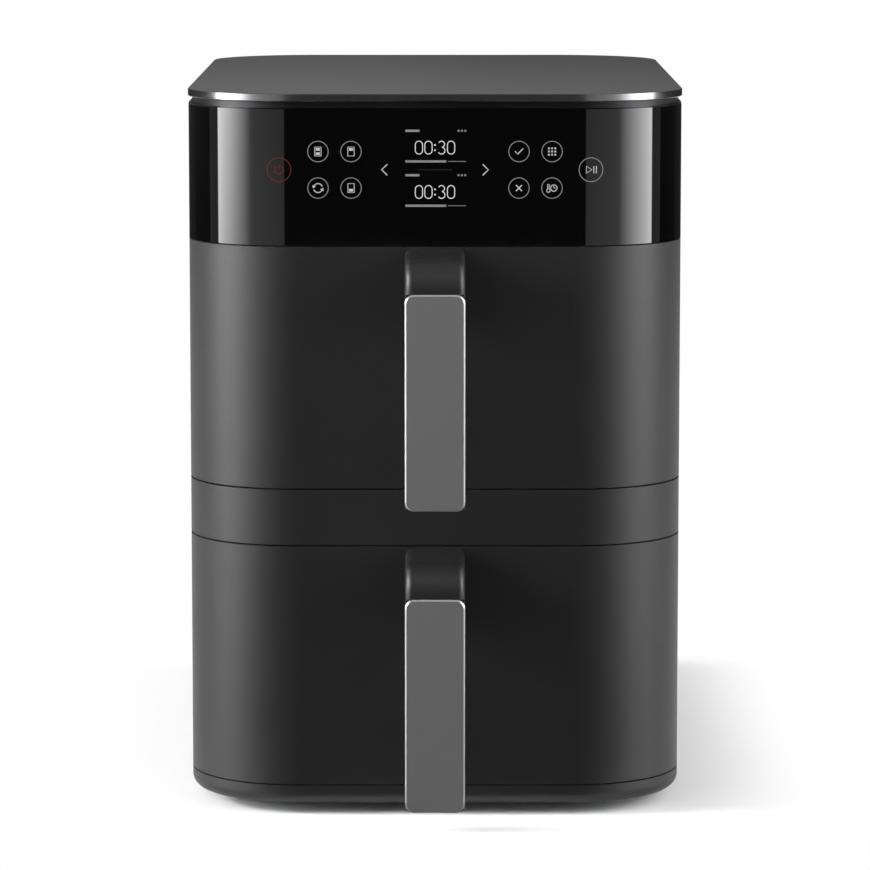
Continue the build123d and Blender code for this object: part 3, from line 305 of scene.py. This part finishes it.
rings = Symbol("key_rings", 0.0, ROW_MIDDLE)
for x in (-OUTER_KEY_X, -INNER_KEY_X, INNER_KEY_X, OUTER_KEY_X):
    for z in (ROW_HIGH, ROW_LOW):
        rings.ring(KEY_RING, HAIR_LINE, x, z - ROW_MIDDLE)
rings.ring(END_RING, HAIR_LINE, END_KEY_X)
rings.build(GREY_LIGHT)


def drawer_key(name, x, z, filled):
    """A key with two stacked drawers, some of them filled."""
    symbol = Symbol(name, x, z)
    symbol.stroke([(-1.7, -2.4), (1.7, -2.4), (1.7, 2.4), (-1.7, 2.4)], THIN_LINE, closed=True)
    for level in filled:
        symbol.bar(-1.1, 1.1, level - 0.7, level + 0.7)
    symbol.build(WHITE_LIGHT)


drawer_key("key_both_drawers", -OUTER_KEY_X, ROW_HIGH, (-SHELF_RISE, SHELF_RISE))
drawer_key("key_upper_drawer", -INNER_KEY_X, ROW_HIGH, (SHELF_RISE,))
drawer_key("key_lower_drawer", -INNER_KEY_X, ROW_LOW, (-SHELF_RISE,))

match = Symbol("key_match_drawers", -OUTER_KEY_X, ROW_LOW)
for turn in (20, 200):
    match.stroke(arc(TURN_RADIUS, turn, TURN_SWEEP, 10), PLAIN_LINE)
    tip_x, tip_z = arc(TURN_RADIUS, turn + TURN_SWEEP, 0, 1)[0]
    heading = math.radians(turn + TURN_SWEEP + 90)
    ahead_x, ahead_z = math.cos(heading), math.sin(heading)
    match.add([(tip_x + ahead_z, tip_z - ahead_x),
               (tip_x - ahead_z, tip_z + ahead_x),
               (tip_x + ARROW_LENGTH * ahead_x, tip_z + ARROW_LENGTH * ahead_z)])
match.build(WHITE_LIGHT)

accept = Symbol("key_accept", INNER_KEY_X, ROW_HIGH)
accept.stroke([(-2.1, 0.1), (-0.7, -1.4), (2.2, 1.6)], BOLD_LINE)
accept.build(WHITE_LIGHT)

cancel = Symbol("key_cancel", INNER_KEY_X, ROW_LOW)
for slope in (-1, 1):
    cancel.stroke([(-1.6, -1.6 * slope), (1.6, 1.6 * slope)], BOLD_LINE)
cancel.build(WHITE_LIGHT)

menu = Symbol("key_menu", OUTER_KEY_X, ROW_HIGH)
for column in (-DOT_PITCH, 0.0, DOT_PITCH):
    for row in (-DOT_PITCH, 0.0, DOT_PITCH):
        menu.bar(column - DOT_HALF, column + DOT_HALF, row - DOT_HALF, row + DOT_HALF)
menu.build(WHITE_LIGHT)

settings = Symbol("key_time_and_heat", OUTER_KEY_X, ROW_LOW)
settings.ring(1.7, THIN_LINE, 1.0, 0.0, 24)
settings.stroke([(1.0, 1.0), (1.0, 0.0), (1.8, 0.0)], HAIR_LINE)
settings.stroke(arc(0.9, 120, 300, 14, -1.9, -1.4), HAIR_LINE)
settings.stroke([(-2.3, -0.7), (-2.3, 2.0), (-1.5, 2.0), (-1.5, -0.7)], HAIR_LINE)
settings.build(WHITE_LIGHT)

for name, x, direction in (("key_back", -CHEVRON_X, -1), ("key_next", CHEVRON_X, 1)):
    chevron = Symbol(name, x, ROW_MIDDLE)
    chevron.stroke([(-1.5 * direction, 2.9), (1.5 * direction, 0.0), (-1.5 * direction, -2.9)], WIDE_LINE)
    chevron.build(WHITE_LIGHT)

power = Symbol("key_power", -END_KEY_X, ROW_MIDDLE)
power.ring(END_RING, HAIR_LINE)
power.stroke(arc(2.3, 125, 290, 20), THIN_LINE)
power.stroke([(0.0, 0.4), (0.0, 2.7)], THIN_LINE)
power.build(RED_LIGHT)

start = Symbol("key_start", END_KEY_X, ROW_MIDDLE)
start.stroke([(-2.5, -1.9), (0.5, 0.0), (-2.5, 1.9)], PLAIN_LINE, closed=True)
for x in (1.5, 2.9):
    start.stroke([(x, -1.9), (x, 1.9)], PLAIN_LINE)
start.build(WHITE_LIGHT)


# Display: two plain time read-outs with a name bar and a progress bar each
TIME_ROWS = {"upper": TOP - 21.0, "lower": TOP - 44.8}
DIGIT_WIDTH, DIGIT_HEIGHT, DIGIT_LINE = 3.9, 6.9, 0.44
INNER_DIGIT_X, OUTER_DIGIT_X = 3.5, 8.6
COLON_RISE, COLON_HALF = 1.4, 0.4
BAR_LEFT, NAME_RIGHT, DONE_RIGHT, LEFT_OVER_RIGHT = -15.9, -8.3, 6.0, 16.6
MARK_X, MARK_HALF = (12.6, 14.4, 16.2), 0.5
NAME_RISE, PROGRESS_DROP = 9.0, 7.4
BAR_HALF, LEFT_OVER_HALF, BAR_GAP = 0.6, 0.15, 1.0
DIVIDER_HALF, DIVIDER_RISE = 9.0, 0.2
SMALL_BOWL, LARGE_BOWL = 0.47, 0.53


def zero(symbol, x):
    """A narrow round nought."""
    radius, half = DIGIT_WIDTH / 2, DIGIT_HEIGHT / 2
    path = arc(radius, 0, 180, 10, x, half - radius) + arc(radius, 180, 180, 10, x, radius - half)
    symbol.stroke(path, DIGIT_LINE, closed=True)


def three(symbol, x):
    """A plain three: a small bowl over a larger one."""
    half = DIGIT_HEIGHT / 2
    small, large = SMALL_BOWL * half, LARGE_BOWL * half
    path = arc(small, 150, -230, 14, x, half - small) + arc(large, 80, -230, 14, x, large - half)
    symbol.stroke(path, DIGIT_LINE)


for name, centre in TIME_ROWS.items():
    time = Symbol(f"display_time_{name}", 0.0, centre)
    for x in (-OUTER_DIGIT_X, -INNER_DIGIT_X, OUTER_DIGIT_X):
        zero(time, x)
    three(time, INNER_DIGIT_X)
    for z in (-COLON_RISE, COLON_RISE):
        time.bar(-COLON_HALF, COLON_HALF, z - COLON_HALF, z + COLON_HALF)
    time.build(BRIGHT_LIGHT)
    label = Symbol(f"display_bars_{name}", 0.0, centre)
    label.bar(BAR_LEFT, NAME_RIGHT, NAME_RISE - BAR_HALF, NAME_RISE + BAR_HALF)
    for x in MARK_X:
        label.bar(x - MARK_HALF, x + MARK_HALF, NAME_RISE - MARK_HALF, NAME_RISE + MARK_HALF)
    label.bar(BAR_LEFT, DONE_RIGHT, -PROGRESS_DROP - BAR_HALF, -PROGRESS_DROP + BAR_HALF)
    label.bar(DONE_RIGHT + BAR_GAP, LEFT_OVER_RIGHT,
              -PROGRESS_DROP - LEFT_OVER_HALF, -PROGRESS_DROP + LEFT_OVER_HALF)
    label.build(GREY_LIGHT)

divider = Symbol("display_divider", 0.0, ROW_MIDDLE)
divider.bar(-DIVIDER_HALF, DIVIDER_HALF, -DIVIDER_RISE, DIVIDER_RISE)
divider.build(FAINT_LIGHT)


# Stage: floor, cloth, surround, lamps and camera
def stage_mesh(name, points, faces, material):
    """A mesh that isn't part of the object."""
    mesh = bpy.data.meshes.new(name)
    mesh.from_pydata(points, [], faces)
    mesh.materials.append(material)
    piece = bpy.data.objects.new(name, mesh)
    bpy.context.scene.collection.objects.link(piece)
    return piece


def math_node(tree, operation, first, second):
    """One step of arithmetic on two values."""
    node = tree.nodes.new("ShaderNodeMath")
    node.operation = operation
    tree.links.new(first, node.inputs[0])
    tree.links.new(second, node.inputs[1])
    return node.outputs["Value"]


def seen_rays(tree):
    """1 for what the camera sees, directly, in a reflection or through glass, and 0 for other light."""
    path = tree.nodes.new("ShaderNodeLightPath")
    reflected = math_node(tree, "MAXIMUM", path.outputs["Is Camera Ray"], path.outputs["Is Glossy Ray"])
    return math_node(tree, "MAXIMUM", reflected, path.outputs["Is Transmission Ray"])


def vector_node(tree, operation, source, value=None):
    """One step of vector arithmetic with a fixed value."""
    node = tree.nodes.new("ShaderNodeVectorMath")
    node.operation = operation
    tree.links.new(source, node.inputs[0])
    if value:
        node.inputs[1].default_value = value
    return node.outputs


# Floor: white where it is seen and dim in what it throws back. It fades out beyond the open drawers
FLOOR_RADIUS, FLOOR_STEPS, FADE_REACH, DRAWER_TRAVEL = 1.6, 96, 0.08, 0.33
FLOOR_WHITE, FLOOR_BOUNCE, MATT = 0.93, 0.20, 0.9


def floor():
    """A pale round floor that keeps the object's shadow and fades into white away from its footprint."""
    material, tree, shader = new_material("floor")
    seen = seen_rays(tree)
    tree.links.new(ramp(tree, seen, [(0.0, FLOOR_BOUNCE), (1.0, FLOOR_WHITE)]), shader.inputs["Base Color"])
    shader.inputs["Roughness"].default_value = MATT
    shader.inputs["Specular IOR Level"].default_value = 0.0
    coordinates = tree.nodes.new("ShaderNodeTexCoord")
    front, rear = cad_low.y - DRAWER_TRAVEL, cad_high.y
    middle = (0.0, (rear + front) / 2, 0.0)
    half = (cad_high.x, (rear - front) / 2, 0.0)
    place = vector_node(tree, "SUBTRACT", coordinates.outputs["Object"], middle)["Vector"]
    place = vector_node(tree, "ABSOLUTE", place)["Vector"]
    place = vector_node(tree, "SUBTRACT", place, half)["Vector"]
    place = vector_node(tree, "MAXIMUM", place, (0.0, 0.0, 0.0))["Vector"]
    fade = tree.nodes.new("ShaderNodeMapRange")
    fade.interpolation_type = "SMOOTHSTEP"
    fade.inputs["From Max"].default_value = FADE_REACH
    tree.links.new(vector_node(tree, "LENGTH", place)["Value"], fade.inputs["Value"])
    white = tree.nodes.new("ShaderNodeEmission")
    blend = tree.nodes.new("ShaderNodeMixShader")
    tree.links.new(math_node(tree, "MULTIPLY", seen, fade.outputs["Result"]), blend.inputs["Fac"])
    tree.links.new(shader.outputs["BSDF"], blend.inputs[1])
    tree.links.new(white.outputs["Emission"], blend.inputs[2])
    tree.links.new(blend.outputs["Shader"], tree.nodes["Material Output"].inputs["Surface"])
    rim = [math.tau * step / FLOOR_STEPS for step in range(FLOOR_STEPS)]
    points = [(FLOOR_RADIUS * math.cos(turn), FLOOR_RADIUS * math.sin(turn), 0.0) for turn in rim]
    stage_mesh("floor", points, [range(FLOOR_STEPS)], material)


CLOTH_COLOUR, CLOTH_LIFT = (0.01, 0.01, 0.01, 1.0), 0.002
CLOTH_NEAR_Y, CLOTH_NEAR_HALF, CLOTH_FAR_Y, CLOTH_FAR_HALF = -0.2, 0.3, -3.0, 2.4


def dark_cloth():
    """A dark cloth on the floor before the object, which shows only in its reflections."""
    material, _, shader = new_material("dark_cloth")
    shader.inputs["Base Color"].default_value = CLOTH_COLOUR
    shader.inputs["Roughness"].default_value = MATT
    points = [(-CLOTH_NEAR_HALF, CLOTH_NEAR_Y, CLOTH_LIFT), (CLOTH_NEAR_HALF, CLOTH_NEAR_Y, CLOTH_LIFT),
              (CLOTH_FAR_HALF, CLOTH_FAR_Y, CLOTH_LIFT), (-CLOTH_FAR_HALF, CLOTH_FAR_Y, CLOTH_LIFT)]
    cloth = stage_mesh("dark_cloth", points, [(0, 1, 2, 3)], material)
    cloth.visible_camera = cloth.visible_diffuse = cloth.visible_shadow = False


floor()
dark_cloth()

# The surround's glow by angle from the front: (degrees, level at the floor, at the roof)
GLOW = [
    (0, 0.02, 0.02), (13.8, 0.02, 0.02),  # gap for the camera
    (14.6, 0.56, 0.10), (46, 0.84, 0.15),  # pale screens
    (50, 1.0, 1.5), (73, 6.3, 24.0), (90, 9.9, 30.0),  # soft boxes
    (91.5, 0.26, 0.26), (103.5, 0.26, 0.26),  # their dim rear edges
    (104.2, 0.01, 0.25), (135, 0.01, 0.25),  # dark cloth
    (136, 0.03, 0.15), (155, 0.03, 0.15), (180, 0.03, 0.15),  # dim wall behind the object
]
# The mesh keeps each level as a share of GLOW_SCALE, and the left and right top glow differently
ROOF_GLOW, GLOW_SCALE = 0.30, 48.0
LEFT_SHARE, RIGHT_SHARE = 1.5, 0.62
SURROUND_RADIUS, SURROUND_HEIGHT, SURROUND_STEP = 3.4, 2.2, 4


def glow_at(angle):
    """The surround's glow at an angle, low down and high up, between the listed ones."""
    rows = zip(GLOW, GLOW[1:])
    (before, *first), (after, *second) = next(pair for pair in rows if angle <= pair[1][0])
    return [low + (high - low) * (angle - before) / (after - before) for low, high in zip(first, second)]


def surround():
    """A roofed ring of soft boxes and cloth, which lights the object and is hidden from the camera."""
    material = bpy.data.materials.new("surround")
    material.use_nodes = True
    tree = material.node_tree
    tree.nodes.clear()
    output = tree.nodes.new("ShaderNodeOutputMaterial")
    emission = tree.nodes.new("ShaderNodeEmission")
    emission.inputs["Strength"].default_value = GLOW_SCALE
    shade = tree.nodes.new("ShaderNodeAttribute")
    shade.attribute_name = "glow"
    tree.links.new(shade.outputs["Color"], emission.inputs["Color"])
    tree.links.new(emission.outputs["Emission"], output.inputs["Surface"])
    listed = {angle * side for angle, *_ in GLOW for side in (-1, 1)}
    angles = sorted(listed | set(range(-180, 181, SURROUND_STEP)))
    points, faces, glow = [], [], []
    for angle in angles:
        turn = math.radians(angle)
        x, y = SURROUND_RADIUS * math.sin(turn), CORNER_Y - SURROUND_RADIUS * math.cos(turn)
        floor_level, roof_level = glow_at(abs(angle))
        points += [(x, y, 0.0), (x, y, SURROUND_HEIGHT), (x, y, SURROUND_HEIGHT)]
        glow += [floor_level, roof_level * (RIGHT_SHARE if angle > 0 else LEFT_SHARE), ROOF_GLOW]
    for low in range(0, len(points) - 3, 3):
        faces.append((low, low + 1, low + 4, low + 3))
    faces.append(range(2, len(points) - 3, 3))
    ring = stage_mesh("surround", points, faces, material)
    layer = ring.data.color_attributes.new("glow", "FLOAT_COLOR", "POINT")
    for index, level in enumerate(glow):
        share = level / GLOW_SCALE
        layer.data[index].color = (share, share, share, 1.0)
    ring.visible_camera = False


surround()

# White background, most of which the surround hides from the object
world = bpy.data.worlds.new("studio")
bpy.context.scene.world = world
world.use_nodes = True
backdrop = world.node_tree.nodes["Background"]
backdrop.inputs["Color"].default_value = (1.0, 1.0, 1.0, 1.0)
backdrop.inputs["Strength"].default_value = 1.0


def area_lamp(name, place, target, size, power):
    """A soft lamp aimed at a point, hidden from the camera."""
    lamp = bpy.data.lights.new(name, "AREA")
    lamp.shape = "RECTANGLE"
    lamp.size, lamp.size_y = size
    lamp.energy = power
    piece = bpy.data.objects.new(name, lamp)
    piece.location = place
    piece.rotation_euler = (Vector(target) - Vector(place)).to_track_quat("-Z", "Y").to_euler()
    piece.visible_camera = False
    bpy.context.scene.collection.objects.link(piece)


# Lamps: places and sizes in metres, powers in watts
area_lamp("left_lamp", (-1.8, -0.3, 1.8), (0.0, 0.0, 0.1), (1.0, 1.0), 4.0)
area_lamp("right_lamp", (1.8, -0.3, 1.8), (0.0, 0.0, 0.1), (1.0, 1.0), 14.0)
area_lamp("front_lamp", (-0.7, -1.2, 1.2), (0.0, FRONT_Y, 0.3), (0.4, 0.4), 3.0)
area_lamp("lid_lamp", (0.0, 0.85, 0.75), (0.0, 0.0, 0.4), (0.6, 0.1), 0.42)

# Camera: a long lens from a little above, as the photo's
CAMERA_BACK, CAMERA_HEIGHT, CAMERA_PITCH = 2.4279, 0.5358, 7.649
CAMERA_LENS, SENSOR_WIDTH = 187.73, 36.0
camera_data = bpy.data.cameras.new("camera")
camera_data.sensor_width = SENSOR_WIDTH
camera_data.lens = CAMERA_LENS
camera = bpy.data.objects.new("camera", camera_data)
camera.location = (0.0, FRONT_Y - CAMERA_BACK, CAMERA_HEIGHT)
camera.rotation_euler = (math.radians(90 - CAMERA_PITCH), 0.0, 0.0)
bpy.context.scene.collection.objects.link(camera)
bpy.context.scene.camera = camera
bpy.context.scene.view_settings.view_transform = "Standard"
